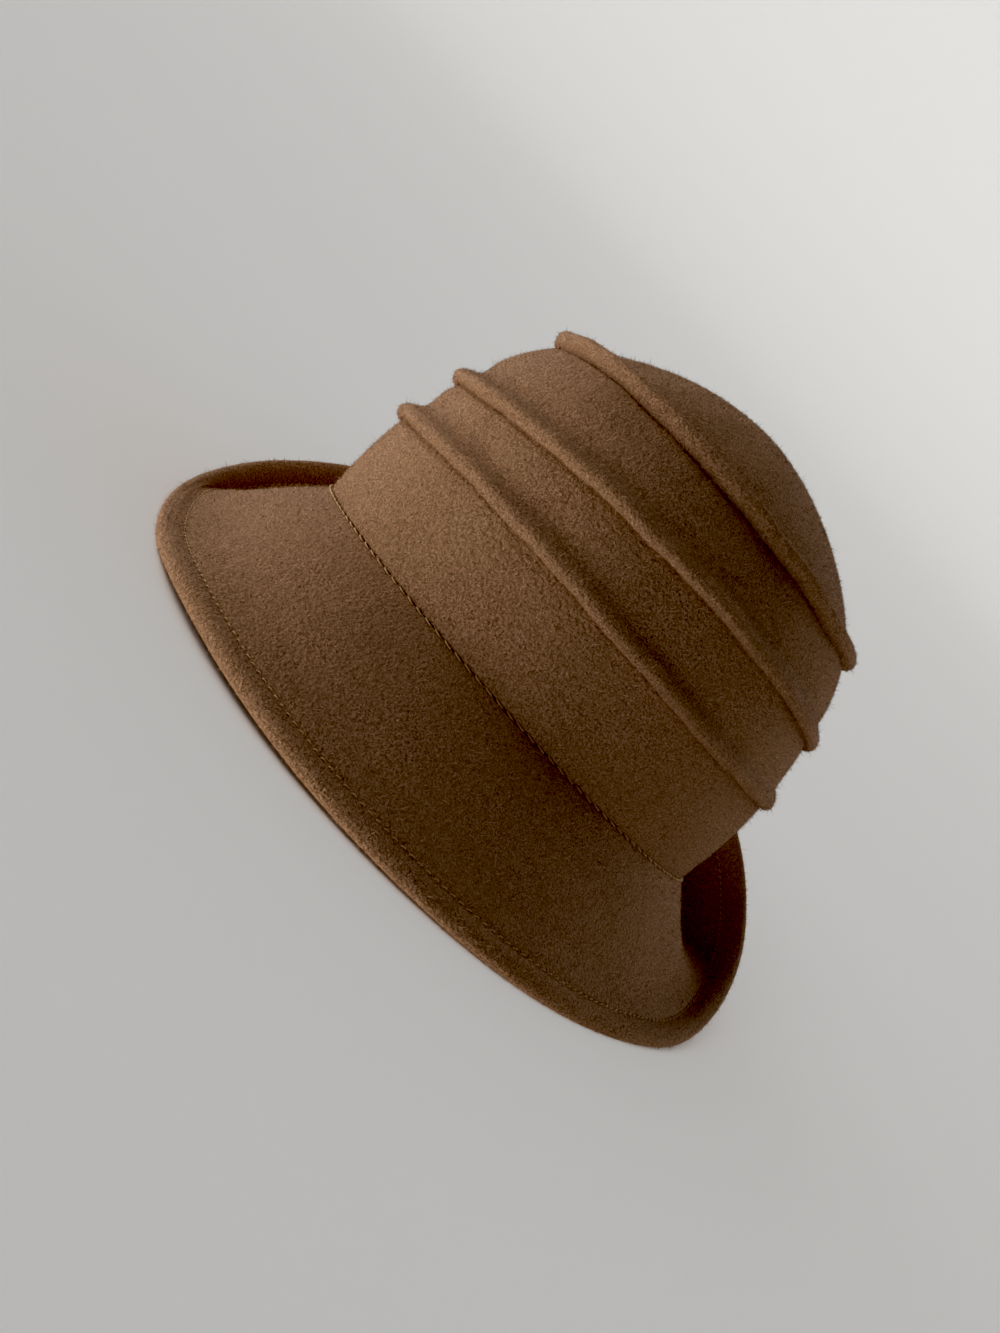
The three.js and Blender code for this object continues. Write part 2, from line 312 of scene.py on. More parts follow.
def line_at(line, angle):
    """A line's distance up the wall at an angle from the front."""
    front, right, back, left = (line[side] for side in ("front", "right", "back", "left"))
    return (
        (front + right + back + left) / 4
        + (front - back) / 2 * np.cos(angle)
        + (right - left) / 2 * np.sin(angle)
        + (front + back - right - left) / 4 * np.cos(2 * angle)
        + line["skew"] * np.sin(2 * angle)
    )


def brim_value(name, azimuth):
    """One column of the brim's table at any azimuth, in degrees from -180 to 180."""
    at = column(BRIM_SECTIONS, BRIM_COLUMNS, "azimuth")
    values = column(BRIM_SECTIONS, BRIM_COLUMNS, name)
    knots = np.concatenate([[at[-1] - 360], at, [180, at[1] + 360]])
    ringed = np.concatenate([[values[-1]], values, [values[0], values[1]]])
    return smooth_through(knots, ringed, azimuth)


# ---------------------------------------------------------------- the crown's wall


def wall_curve():
    """The crown's wall by distance up it from the seam, mirrored past both ends."""
    height = column(CROWN_SECTIONS, CROWN_COLUMNS, "height")
    width = column(CROWN_SECTIONS, CROWN_COLUMNS, "half_width")
    up = np.concatenate([[0], np.cumsum(np.hypot(np.diff(height), np.diff(width)))])
    return {
        "length": up[-1],
        "knots": np.concatenate([[-up[1]], up, [2 * up[-1] - up[-2]]]),
        "heights": np.concatenate([[-height[1]], height, [height[-2]]]),
        "half_widths": np.concatenate([[width[0]], width, [-width[-2]]]),
    }


WALL = wall_curve()
SEAM_HALF_WIDTH = CROWN_SECTIONS[0][1]


def oval_normal(angle):
    """Level outward normal of the oval at an angle from the front."""
    x = np.sin(angle)
    y = -np.cos(angle) / LENGTH_TO_WIDTH
    length = np.hypot(x, y)
    return x / length, y / length


def crown_points(angle, up, out):
    """Points of the crown at an angle, a distance up the wall and out from its plain surface."""
    low = np.maximum(up - SLOPE_REACH, WALL["knots"][0])
    high = up + SLOPE_REACH
    width_low = smooth_through(WALL["knots"], WALL["half_widths"], low)
    width_high = smooth_through(WALL["knots"], WALL["half_widths"], high)
    height_low = smooth_through(WALL["knots"], WALL["heights"], low)
    height_high = smooth_through(WALL["knots"], WALL["heights"], high)
    length = np.hypot(height_high - height_low, width_low - width_high)
    across = (height_high - height_low) / length
    lift = (width_low - width_high) / length
    half_width = smooth_through(WALL["knots"], WALL["half_widths"], up)
    height = smooth_through(WALL["knots"], WALL["heights"], up)
    nx, ny = oval_normal(angle)
    x = half_width * np.sin(angle) + nx * out * across
    y = -LENGTH_TO_WIDTH * half_width * np.cos(angle) + ny * out * across
    return np.stack([x, y, height + out * lift], -1)


def fold_rows():
    """Distances up and out round a pintuck's section, evenly spaced along the felt."""
    up = column(FOLD_SECTION, FOLD_COLUMNS, "up")
    out = column(FOLD_SECTION, FOLD_COLUMNS, "out")
    along = np.concatenate([[0], np.cumsum(np.hypot(np.diff(up), np.diff(out)))])
    knots = np.concatenate([[-1.0], along, [along[-1] + 1.0]])
    even = np.linspace(0, along[-1], FOLD_ROWS)
    smooth_up = smooth_through(knots, np.concatenate([[up[0] - 1], up, [up[-1] + 1]]), even)
    smooth_out = smooth_through(knots, np.concatenate([[0], out, [0]]), even)
    return smooth_up, smooth_out


def crown_outside(angles, tuck_height):
    """Rows (up, out) of the crown's outer surface for every angle, from its lower edge to the tip."""
    ups = []
    outs = []
    plain_from = line_at(SEAM_LINE, angles)
    fold_up, fold_out = fold_rows()
    for tuck, rows in zip(PINTUCKS, WALL_ROWS):
        line = line_at(tuck["line"], angles)
        # The waver dies out behind, where its two ends meet
        wander = SEWING_WANDER * hand_waves(2.3 * angles, line)
        stitch = line + wander * np.cos(angles / 2)
        for i in range(rows):
            ups.append(plain_from + (stitch + fold_up[0] - plain_from) * i / rows)
            outs.append(np.zeros_like(angles))
        unevenness = hand_waves(2 * angles, line)
        stand = line_at(tuck["stand"], angles) * tuck_height * (1 + FOLD_UNEVENNESS * unevenness)
        depth = line_at(tuck["valley"], angles) * (1 + VALLEY_UNEVENNESS * unevenness)
        for up, out in zip(fold_up[:-1], fold_out[:-1]):
            ups.append(stitch + up)
            outs.append(out * (stand if out > 0 or up < 0 else depth))
        plain_from = stitch + FOLD_SPAN
    for i in range(TIP_ROWS):
        ups.append(plain_from + (WALL["length"] - plain_from) * i / TIP_ROWS)
        outs.append(np.zeros_like(angles))
    up = np.array(ups)
    out = np.array(outs)
    fade = smooth_step(0, EVEN_AT_SEAM, up) * smooth_step(0, EVEN_AT_TIP, WALL["length"] - up)
    return up, out + CROWN_WAVES * fade * hand_waves(angles, up)


def crown_inside(angles, felt):
    """Rows (up, out) of the crown's inner surface, from the tip down, creased at each pintuck."""
    seam = line_at(SEAM_LINE, angles)
    share = np.arange(1, INNER_ROWS + 1)[:, None] / INNER_ROWS
    up = WALL["length"] + (seam - WALL["length"]) * share
    out = np.full_like(up, -felt)
    for tuck in PINTUCKS:
        out = out + CREASE_DEPTH * groove(up, line_at(tuck["line"], angles), CREASE_WIDTH)
    return up, out


def crown_surface(angles, sizes):
    """The crown's whole skin in columns of rows, out over the wall and back inside to the cut edge,
    with the points at the tip outside and inside and the number of outer rows."""
    up, out = crown_outside(angles, sizes.tuck_height)
    inner_up, inner_out = crown_inside(angles, sizes.crown_felt / MM)
    up[0] += OUTER_CORNER
    inner_up[-1] += INNER_CORNER
    lower = line_at(SEAM_LINE, angles)
    edge_up = lower + column(CUT_EDGE, CUT_EDGE_COLUMNS, "up")[:, None]
    edge_out = np.zeros_like(lower) + column(CUT_EDGE, CUT_EDGE_COLUMNS, "out")[:, None]
    rows_up = np.concatenate([up, inner_up, edge_up])
    rows_out = np.concatenate([out, inner_out, edge_out])
    points = crown_points(angles, rows_up, rows_out).transpose(1, 0, 2)
    tip_out = np.array([0, -sizes.crown_felt / MM])
    tips = crown_points(np.zeros(2), np.full(2, WALL["length"]), tip_out)
    return set_down(leaned(points), sizes), set_down(leaned(tips), sizes), len(up)


# ---------------------------------------------------------------- the brim's section


def bezier(control, t):
    """Points at t on cubic curves, one curve for each angle."""
    t = t[..., None]
    a, b, c, d = (control[:, None, i, :] for i in range(4))
    return (1 - t) ** 3 * a + 3 * (1 - t) ** 2 * t * b + 3 * (1 - t) * t**2 * c + t**3 * d


def bezier_direction(control, t):
    """Unit directions at t along the same curves."""
    t = t[..., None]
    a, b, c, d = (control[:, None, i, :] for i in range(4))
    speed = (1 - t) ** 2 * (b - a) + 2 * (1 - t) * t * (c - b) + t**2 * (d - c)
    return speed / np.linalg.norm(speed, axis=-1, keepdims=True)


def brim_curves(angles):
    """Control points of the brim's upper line, outward and up from the seam, at each angle."""
    azimuth = np.degrees(angles)
    value = {name: brim_value(name, azimuth) for name in BRIM_COLUMNS[1:]}
    seam_slope = np.radians(value["seam_slope"])
    edge_slope = np.radians(value["edge_slope"])
    edge = np.stack([value["flare"], value["rise"]], -1)
    leaving = np.stack([np.cos(seam_slope), -np.sin(seam_slope)], -1) * value["seam_reach"][:, None]
    meeting = np.stack([-np.cos(edge_slope), np.sin(edge_slope)], -1) * value["edge_reach"][:, None]
    return np.stack([np.zeros_like(edge), leaving, edge + meeting, edge], 1)


def curve_lengths(control):
    """Arc length from the seam to each of evenly spaced t, for every curve."""
    t = np.broadcast_to(np.linspace(0, 1, CURVE_SAMPLES), (len(control), CURVE_SAMPLES))
    steps = np.linalg.norm(np.diff(bezier(control, t), axis=1), axis=-1)
    return t, np.concatenate([np.zeros((len(control), 1)), np.cumsum(steps, axis=1)], axis=1)


def brim_points(angle, out, up):
    """Points at an angle, out from the crown's outer surface and up from the seam's level."""
    nx, ny = oval_normal(angle)
    x = SEAM_HALF_WIDTH * np.sin(angle) + nx * out
    y = -LENGTH_TO_WIDTH * SEAM_HALF_WIDTH * np.cos(angle) + ny * out
    return np.stack([x, y, np.broadcast_to(up, x.shape)], -1)


def at_lengths(wanted, lengths, t):
    """The t that lies a wanted length along each curve."""
    return np.array([np.interp(s, l, u) for s, l, u in zip(wanted, lengths, t)])


def collar_section(crown_felt):
    """The seam allowance turned up inside the crown, outward and up from the seam, in rows."""
    outer = -crown_felt - COLLAR_GAP
    inner = outer - COLLAR_FELT
    shoulder = COLLAR_HEIGHT - COLLAR_CORNER
    return np.array(
        [
            (outer, 0),
            (outer, COLLAR_HEIGHT / 2),
            (outer, shoulder),
            (outer - COLLAR_CORNER, COLLAR_HEIGHT),
            (inner + COLLAR_CORNER, COLLAR_HEIGHT),
            (inner, shoulder),
            (inner, COLLAR_HEIGHT / 2),
            # The inner side runs on into the under side of the brim
            (inner, 0.5),
            (inner + 0.6, -0.9),
        ]
    )


def brim_surfaces(angles, sizes):
    """The brim's under, nose, over and collar rows, leaned back and pressed flat on the ground."""
    brim_felt = sizes.brim_felt / MM
    hem_felt = sizes.hem_felt / MM
    hem = sizes.hem_width / MM
    nose_radius = hem_felt / 2
    control = brim_curves(angles)
    t, lengths = curve_lengths(control)
    total = lengths[:, -1:]
    plain = total - (total - HEM_INSETS[0]) * np.arange(BRIM_ROWS) / BRIM_ROWS
    hem_rows = np.broadcast_to(np.array(HEM_INSETS), (len(angles), len(HEM_INSETS)))
    insets = np.concatenate([plain, hem_rows], 1)
    at = at_lengths(total - insets, lengths, t)
    middle = bezier(control, at)
    direction = bezier_direction(control, at)
    normal = np.stack([-direction[..., 1], direction[..., 0]], -1)

    stitch = HEM_DIP * groove(insets, hem, HEM_DIP_WIDTH)
    stitch = stitch + HEM_PINCH * groove(insets, hem, HEM_PINCH_WIDTH)
    puff = HEM_PUFF * groove(insets, hem * 0.5, hem * 0.3)
    above = nose_radius * smooth_step(-HEM_THICKENING * hem, -nose_radius, -insets) - stitch + puff
    foot, top = CUT_LAYER
    layers = brim_felt + (hem_felt - brim_felt) * smooth_step(-hem - foot, -hem - top, -insets)
    below = above + UNDER_STITCH * stitch - layers - UNDER_PUFF * puff
    fade = smooth_step(0, BRIM_EVEN_AT_SEAM, total - insets)
    waves = BRIM_WAVES * hand_waves(angles[:, None], insets) * fade
    over = middle + normal * (above + waves)[..., None]
    under = middle + normal * (below + waves)[..., None]

    end = np.ones((len(angles), 1))
    tangent = bezier_direction(control, end)
    centre = bezier(control, at_lengths(total - nose_radius, lengths, t))
    turn = np.linspace(-math.pi / 2, math.pi / 2, NOSE_ROWS + 2)[1:-1]
    side = np.stack([-tangent[..., 1], tangent[..., 0]], -1)
    arms = np.cos(turn)[None, :, None] * tangent + np.sin(turn)[None, :, None] * side
    edge_waves = BRIM_WAVES * hand_waves(angles[:, None], np.zeros_like(turn))
    nose = centre + nose_radius * arms + side * edge_waves[..., None]

    allowance = collar_section(sizes.crown_felt / MM)
    collar = np.broadcast_to(allowance, (len(angles), *allowance.shape))
    seam = (line_at(SEAM_LINE, angles) - SEAM_GAP)[:, None]
    flare = control[:, None, 3, 0]

    def placed(section):
        up = section[..., 1] + seam * (1 - np.maximum(0, section[..., 0]) / flare)
        return leaned(brim_points(angles[:, None], section[..., 0], up))

    under, nose, over, collar = (placed(part) for part in (under, nose, over, collar))
    ground = min(under[..., 2].min(), nose[..., 2].min()) + REST_PRESS
    lift = np.maximum(0, ground - under[..., 2])
    under[..., 2] += lift
    over[..., 2] += lift
    nose[..., 2] = np.maximum(nose[..., 2], ground)
    return {"under": under, "nose": nose, "over": over, "collar": collar}


# ---------------------------------------------------------------- placing


def lean_matrix():
    """The turn from the crown's upright frame into the resting one."""
    return np.array(Matrix.Rotation(-LEAN_LEFT, 3, "Y") @ Matrix.Rotation(-LEAN_BACK, 3, "X"))


def leaned(points):
    """Points of the upright hat as it leans at rest, before it is set on the ground."""
    return points @ lean_matrix().T


def angles_round():
    """Angles of the columns round the hat, from the back by the left side."""
    return -math.pi + 2 * math.pi * np.arange(AROUND) / AROUND


def rest_shift(sizes):
    """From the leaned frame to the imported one, in millimetres, by the brim's box."""
    parts = brim_surfaces(angles_round(), sizes)
    points = np.concatenate([part.reshape(-1, 3) for part in parts.values()])
    low, high = points.min(0), points.max(0)
    cad_low, cad_high = np.array(CAD_BRIM[0]) / MM, np.array(CAD_BRIM[1]) / MM
    shift = (cad_low + cad_high) / 2 - (low + high) / 2
    shift[2] = cad_low[2] - low[2]
    return shift


def set_down(points, sizes):
    """Leaned points in millimetres, as the hat stands on the floor in metres."""
    return (points + rest_shift(sizes)) * MM


# ---------------------------------------------------------------- meshes


def mesh_object(name, vertices, faces, material, uvs=None):
    """A smooth mesh object from arrays, with its bake map if the faces' corners have one."""
    mesh = bpy.data.meshes.new(name)
    mesh.from_pydata(vertices.tolist(), [], faces if isinstance(faces, list) else faces.tolist())
    mesh.shade_smooth()
    if uvs is not None:
        layer = mesh.uv_layers.new(name="OFBake")
        layer.uv.foreach_set("vector", uvs.astype(np.float32).ravel())
    mesh.materials.append(material)
    piece = bpy.data.objects.new(name, mesh)
    bpy.context.scene.collection.objects.link(piece)
    return piece


def ring_faces(columns, rows, closed):
    """Quads between neighbouring columns and rows; the rows also join round where closed."""
    c = np.arange(columns)[:, None]
    r = np.arange(rows if closed else rows - 1)[None, :]
    after = (c + 1) % columns
    above = (r + 1) % rows
    corners = [c * rows + r, after * rows + r, after * rows + above, c * rows + above]
    return np.stack(np.broadcast_arrays(*corners), -1).reshape(-1, 4)


def ring_uvs(columns, heights, closed):
    """The bake map's corners of the same quads, by share round and by height in the map."""
    rows = len(heights)
    c = np.arange(columns)[:, None]
    r = np.arange(rows if closed else rows - 1)[None, :]
    top = np.append(heights, 1.0)
    u = np.stack(np.broadcast_arrays(c, c + 1, c + 1, c + 0 * r), -1) / columns
    v = np.stack(np.broadcast_arrays(top[r], top[r], top[r + 1], top[r + 1] + 0 * c), -1)
    return np.stack([u, v], -1).reshape(-1, 2) * 0.98 + 0.01


def row_heights(points):
    """Share of the map's height for each row, by mean distance along the columns."""
    steps = np.linalg.norm(np.diff(points, axis=1, append=points[:, :1]), axis=-1).mean(0)
    along = np.concatenate([[0], np.cumsum(steps)])
    return along[:-1] / along[-1]


def surface_normals(points):
    """Outward unit normals of a patch of columns and rows that closes round the hat."""
    around = np.roll(points, -1, axis=0) - np.roll(points, 1, axis=0)
    along = np.gradient(points, axis=1)
    normal = np.cross(around, along)
    return normal / np.linalg.norm(normal, axis=-1, keepdims=True)


def fibres(points, number, sizes, seed):
    """Corners of short bent-down fibres scattered over a patch, one triangle each, in metres."""
    rng = np.random.default_rng(seed)
    after = np.roll(points, -1, axis=0)
    area = np.linalg.norm(
        np.cross((after - points)[:, :-1], points[:, 1:] - points[:, :-1]), axis=-1
    )
    cells = rng.choice(area.size, number, p=(area / area.sum()).ravel())
    c, r = np.unravel_index(cells, area.shape)
    s, t = rng.random((2, number, 1))
    corner = points[c, r] * (1 - s) * (1 - t) + after[c, r] * s * (1 - t)
    root = corner + points[c, r + 1] * (1 - s) * t + after[c, r + 1] * s * t
    normal = surface_normals(points)[c, r]
    along = points[c, r] - points[c, r + 1]
    along /= np.linalg.norm(along, axis=-1, keepdims=True)
    side = np.cross(normal, along)
    # Neighbouring fibres lie much the same way, in tufts that swirl
    waves = rng.normal(size=(CLUMP_WAVES, 3))
    waves *= 2 * math.pi / (CLUMP_LENGTH * MM) / np.linalg.norm(waves, axis=1, keepdims=True)
    swirl = np.sin(root @ waves.T + rng.uniform(0, 2 * math.pi, CLUMP_WAVES)).sum(1, keepdims=True)
    turn = SWIRL_TURN * swirl + rng.normal(0, FIBRE_TURN, (number, 1))
    rise = np.clip(rng.normal(*FIBRE_RISE, (number, 1)), *RISE_LIMITS)
    flat = along * np.cos(turn) + side * np.sin(turn)
    stray = rng.random((number, 1)) < STRAY_SHARE
    length = sizes.nap_length * rng.uniform(*LENGTH_SHARES, (number, 1))
    length = length * np.where(stray, STRAY_LENGTH, 1.0)
    rise = np.where(stray, rise * STRAY_RISE, rise)
    tip = root + length * (flat * np.cos(rise) + normal * np.sin(rise))
    tip[:, 2] = np.maximum(tip[:, 2], CAD_BOX[0][2])
    width = np.cross(normal, flat) * sizes.nap_thickness / 2
    sunk = root - normal * ROOT_DEPTH * MM
    return np.stack([sunk - width, sunk + width, tip], 1)


def threads(centres, radius):
    """Vertices and faces of round threads, one for each row of centre points, closed at the ends."""
    sides = THREAD_SIDES
    count, length, _ = centres.shape
    along = np.gradient(centres, axis=1)
    along /= np.linalg.norm(along, axis=-1, keepdims=True)
    out = centres[:, length // 2 : length // 2 + 1] - (centres[:, :1] + centres[:, -1:]) / 2
    side = np.cross(along, out)
    side /= np.linalg.norm(side, axis=-1, keepdims=True)
    outward = np.cross(side, along)
    turn = 2 * math.pi * np.arange(sides) / sides
    ring = side[:, :, None] * np.cos(turn)[:, None] + outward[:, :, None] * np.sin(turn)[:, None]
    taper = np.full(length, radius)
    taper[[0, -1]] *= THREAD_TAPER
    vertices = centres[:, :, None] + ring * taper[:, None, None]
    per = length * sides
    faces = []
    for k in range(count):
        start = k * per
        for i in range(length - 1):
            for j in range(sides):
                a = start + i * sides + j
                b = start + i * sides + (j + 1) % sides
                faces.append((a, b, b + sides, a + sides))
        faces.append(tuple(start + j for j in reversed(range(sides))))
        faces.append(tuple(start + (length - 1) * sides + j for j in range(sides)))
    return vertices.reshape(-1, 3), faces


def stitches(path, normals, pitch, shape):
    """Centre lines of stitches along a closed path: each leaves its hole, lies and dips back."""
    visible, height, sunk, slant = (shape[name] * MM for name in ("visible", "height", "sunk", "slant"))
    step = np.linalg.norm(np.roll(path, -1, axis=0) - path, axis=-1)
    along = np.concatenate([[0], np.cumsum(step)])
    count = int(round(along[-1] / pitch))
    ring = np.concatenate([path, path[:1]])
    ring_normals = np.concatenate([normals, normals[:1]])
    share = np.linspace(-0.5, 0.5, STITCH_POINTS)
    middles = (np.arange(count) + 0.5)[:, None] * along[-1] / count
    at = np.clip(middles + share[None, :] * visible, 0, along[-1])
    lines = np.stack([np.interp(at, along, ring[:, i]) for i in range(3)], -1)
    out = np.stack([np.interp(at, along, ring_normals[:, i]) for i in range(3)], -1)
    ahead = lines[:, -1:] - lines[:, :1]
    aside = np.cross(out, ahead)
    aside /= np.linalg.norm(aside, axis=-1, keepdims=True)
    bow = np.sqrt(np.clip(1 - (2 * share) ** 2, 0, 1)) * (height + sunk) - sunk
    return lines + out * bow[None, :, None] + aside * (share * slant)[None, :, None]


# ---------------------------------------------------------------- materials


def linear(hex_colour):
    """Linear RGB of an sRGB hex colour such as #8a664a."""
    parts = [int(hex_colour[i : i + 2], 16) / 255 for i in (1, 3, 5)]
    return tuple(p / 12.92 if p <= 0.04045 else ((p + 0.055) / 1.055) ** 2.4 for p in parts)


def add_node(material, kind, inputs=None, **settings):
    """A node of a kind with its settings; each input is a value, or an output to link from."""
    node = material.node_tree.nodes.new(kind)
    for name, value in settings.items():
        setattr(node, name, value)
    for name, value in (inputs or {}).items():
        if isinstance(value, bpy.types.NodeSocket):
            material.node_tree.links.new(value, node.inputs[name])
        else:
            node.inputs[name].default_value = value
    return node


def new_material(name):
    """An empty node material."""
    material = bpy.data.materials.new(name)
    material.use_nodes = True
    material.node_tree.nodes.clear()
    return material


def finish_material(material, surface):
    """Links a shader to the material's output."""
    output = add_node(material, "ShaderNodeOutputMaterial")
    material.node_tree.links.new(surface, output.inputs["Surface"])
    return material


def velour_felt(colours):
    """Wool felt, blocked with steam and brushed to a short velour: dead matt, with a soft haze
    where it turns away, a grain of fibre ends in painted light with painted shade between them, and slow
    clouds where the nap lies differently."""
    material = new_material("wool_felt_velour")
    place = add_node(material, "ShaderNodeTexCoord").outputs["Object"]
    # Fibre ends are about 0.03 mm across. They are drawn as 0.55 mm tufts, or they wouldn't show.
    tufts = add_node(
        material,
        "ShaderNodeTexNoise",
        {"Vector": place, "Scale": 1 / (0.55 * MM), "Detail": 2.0, "Roughness": 0.7},
    )
    clouds = add_node(
        material,
        "ShaderNodeTexNoise",
        {"Vector": place, "Scale": 1 / (22 * MM), "Detail": 2.0, "Roughness": 0.5},
    )
    grain = add_node(
        material,
        "ShaderNodeMapRange",
        {"Value": tufts.outputs["Fac"], "From Min": 0.3, "From Max": 0.7},
    )
    cloud = add_node(
        material,
        "ShaderNodeMapRange",
        {"Value": clouds.outputs["Fac"], "From Min": 0.35, "From Max": 0.65, "To Max": 0.35},
    )
    # The grain's colour is painted light and shade: fibre ends lit in felt_light, painted shade between
    # them in felt_shade
    painted_fibre_light_and_shade = add_node(
        material, "ShaderNodeMix", {"Factor": grain.outputs["Result"]}, data_type="RGBA"
    )
    painted_fibre_light_and_shade.inputs["A"].default_value = (*colours.felt_shade, 1)
    painted_fibre_light_and_shade.inputs["B"].default_value = (*colours.felt_light, 1)
    clouded = add_node(
        material, "ShaderNodeMix", {"Factor": cloud.outputs["Result"]}, data_type="RGBA"
    )
    material.node_tree.links.new(painted_fibre_light_and_shade.outputs["Result"], clouded.inputs["A"])
    clouded.inputs["B"].default_value = (*colours.felt_body, 1)
    # Felting draws the wool together into soft grains, a millimetre or two across
    grains = add_node(
        material,
        "ShaderNodeTexNoise",
        {"Vector": place, "Scale": 1 / (1.25 * MM), "Detail": 1.0, "Roughness": 0.5},
    )
    pebbled = add_node(
        material,
        "ShaderNodeBump",
        {"Height": grains.outputs["Fac"], "Strength": 0.9, "Distance": 0.9 * MM},
    )
    bump = add_node(
        material,
        "ShaderNodeBump",
        {
            "Height": tufts.outputs["Fac"],
            "Strength": 0.8,
            "Distance": 0.4 * MM,
            "Normal": pebbled.outputs["Normal"],
        },
    )
    shader = add_node(
        material,
        "ShaderNodeBsdfPrincipled",
        {
            "Base Color": clouded.outputs["Result"],
            "Roughness": 0.95,
            "IOR": 1.55,
            "Specular IOR Level": 0.1,
            "Sheen Weight": 0.05,
            "Sheen Roughness": 0.5,
            "Sheen Tint": (*colours.felt_light, 1),
            "Normal": bump.outputs["Normal"],
        },
    )
    return finish_material(material, shader.outputs["BSDF"])


def wool_fibre(name, colour):
    """A single wool fibre in one flat colour: matt, with a soft haze along it. The nap takes the felt's
    colour and lit and shaded copies of it as painted light and shade.
    """
    material = new_material(name)
    shader = add_node(
        material,
        "ShaderNodeBsdfPrincipled",
        {
            "Base Color": (*colour, 1),
            "Roughness": 0.9,
            "IOR": 1.55,
            "Specular IOR Level": 0.1,
            "Sheen Weight": 0.05,
            "Sheen Roughness": 0.5,
        },
    )
    return finish_material(material, shader.outputs["BSDF"])


def sewing_thread(colours):
    """Spun polyester sewing thread, two plies twisted: a faint gloss broken by the twist."""
    material = new_material("spun_polyester_thread")
    place = add_node(material, "ShaderNodeTexCoord").outputs["Object"]
    # Two plies at 1.2 mm a turn, so the painted light on the plies and the painted shade between them
    # change every 0.6 mm
    twist = add_node(
        material, "ShaderNodeTexNoise", {"Vector": place, "Scale": 1 / (0.6 * MM), "Detail": 1.0}
    )
    colour = add_node(material, "ShaderNodeMix", {"Factor": twist.outputs["Fac"]}, data_type="RGBA")
    colour.inputs["A"].default_value = (*colours.thread_shade, 1)
    colour.inputs["B"].default_value = (*colours.thread, 1)
    bump = add_node(
        material,
        "ShaderNodeBump",
        {"Height": twist.outputs["Fac"], "Strength": 0.4, "Distance": 0.08 * MM},
    )
    shader = add_node(
        material,
        "ShaderNodeBsdfPrincipled",
        {
            "Base Color": colour.outputs["Result"],
            "Roughness": 0.6,
            "IOR": 1.5,
            "Specular IOR Level": 0.4,
            "Normal": bump.outputs["Normal"],
        },
    )
    return finish_material(material, shader.outputs["BSDF"])


def painted_board(colours):
    """Matt painted board for the studio sweep, with a faint roller texture."""
    material = new_material("matt_painted_board")
    place = add_node(material, "ShaderNodeTexCoord").outputs["Object"]
    # A foam roller leaves its paint in dimples 3 to 5 mm apart
    roller = add_node(
        material, "ShaderNodeTexNoise", {"Vector": place, "Scale": 1 / (4 * MM), "Detail": 2.0}
    )
    bump = add_node(
        material,
        "ShaderNodeBump",
        {"Height": roller.outputs["Fac"], "Strength": 0.12, "Distance": 0.3 * MM},
    )
    shader = add_node(
        material,
        "ShaderNodeBsdfPrincipled",
        {
            "Base Color": (*colours.floor, 1),
            "Roughness": 0.85,
            "IOR": 1.5,
            "Specular IOR Level": 0.2,
            "Normal": bump.outputs["Normal"],
        },
    )
    return finish_material(material, shader.outputs["BSDF"])


# ---------------------------------------------------------------- settings


def length_setting(name, description, default):
    """A length that a user may change, in metres."""
    return bpy.props.FloatProperty(
        name=name,
        description=description,
        default=default,
        min=0.0,
        precision=5,
        unit="LENGTH",
        subtype="DISTANCE",
    )


def colour_setting(name, description, hex_colour):
    """A colour that a user may change."""
    return bpy.props.FloatVectorProperty(
        name=name,
        description=description,
        default=linear(hex_colour),
        size=3,
        min=0.0,
        max=1.0,
        subtype="COLOR",
    )


def power_setting(name, description, default):
    """A light's power that a user may change, in watts."""
    return bpy.props.FloatProperty(
        name=name, description=description, default=default, min=0.0, unit="POWER"
    )


def strength_setting(name, description, default):
    """An even light's strength that a user may change, in watts a square metre."""
    return bpy.props.FloatProperty(name=name, description=description, default=default, min=0.0)


class ClocheSizes(bpy.types.PropertyGroup):
    """Sizes of the felt, the folds, the nap and the stitches."""

    crown_felt: length_setting("Crown felt", "Wall of the crown", 2.0 * MM)
    brim_felt: length_setting("Brim felt", "Wall of the brim", 2.2 * MM)
    hem_felt: length_setting("Hem felt", "Brim felt turned under on itself", 4.2 * MM)
    hem_width: length_setting("Hem width", "From the hem's stitches to the brim's edge", 8.6 * MM)
    tuck_height: bpy.props.FloatProperty(
        name="Tuck height",
        description="Share of the drawn height of each pintuck",
        default=1.0,
        min=0.0,
        max=1.5,
    )
    nap_length: length_setting("Nap length", "Mean length of a fibre end", 1.3 * MM)
    nap_thickness: length_setting("Nap thickness", "Width of a fibre where it leaves the felt", 0.15 * MM)
    thread_radius: length_setting("Thread radius", "Half the sewing thread's thickness", 0.2 * MM)
    seam_pitch: length_setting("Seam stitch", "From one seam stitch to the next", 4.6 * MM)
    hem_pitch: length_setting("Hem stitch", "From one hem stitch to the next", 3.3 * MM)


class ClocheColours(bpy.types.PropertyGroup):
    """Colours of the felt, the thread and the studio."""

    felt_body: colour_setting("Felt", "Mean colour of the felt", "#957354")
    # felt_light and felt_shade are lit and shaded copies of the felt's colour: painted light on the fibre
    # ends and painted shade between them
    felt_light: colour_setting("Felt light", "Fibre ends that face the light", "#bd9372")
    felt_shade: colour_setting("Felt shade", "Between the fibre ends", "#5f432f")
    # fibre_light is a lit copy of the felt's colour: painted light on a third of the nap's fibres
    fibre_light: colour_setting("Fibre light", "The palest fibres of the nap", "#cfa783")
    thread: colour_setting("Thread", "Sewing thread", "#e0bb85")
    # thread_shade is painted shade between the thread's plies
    thread_shade: colour_setting("Thread shade", "Between the thread's plies", "#a8835a")
    floor: colour_setting("Floor", "Studio floor and sweep", "#e6e5e3")


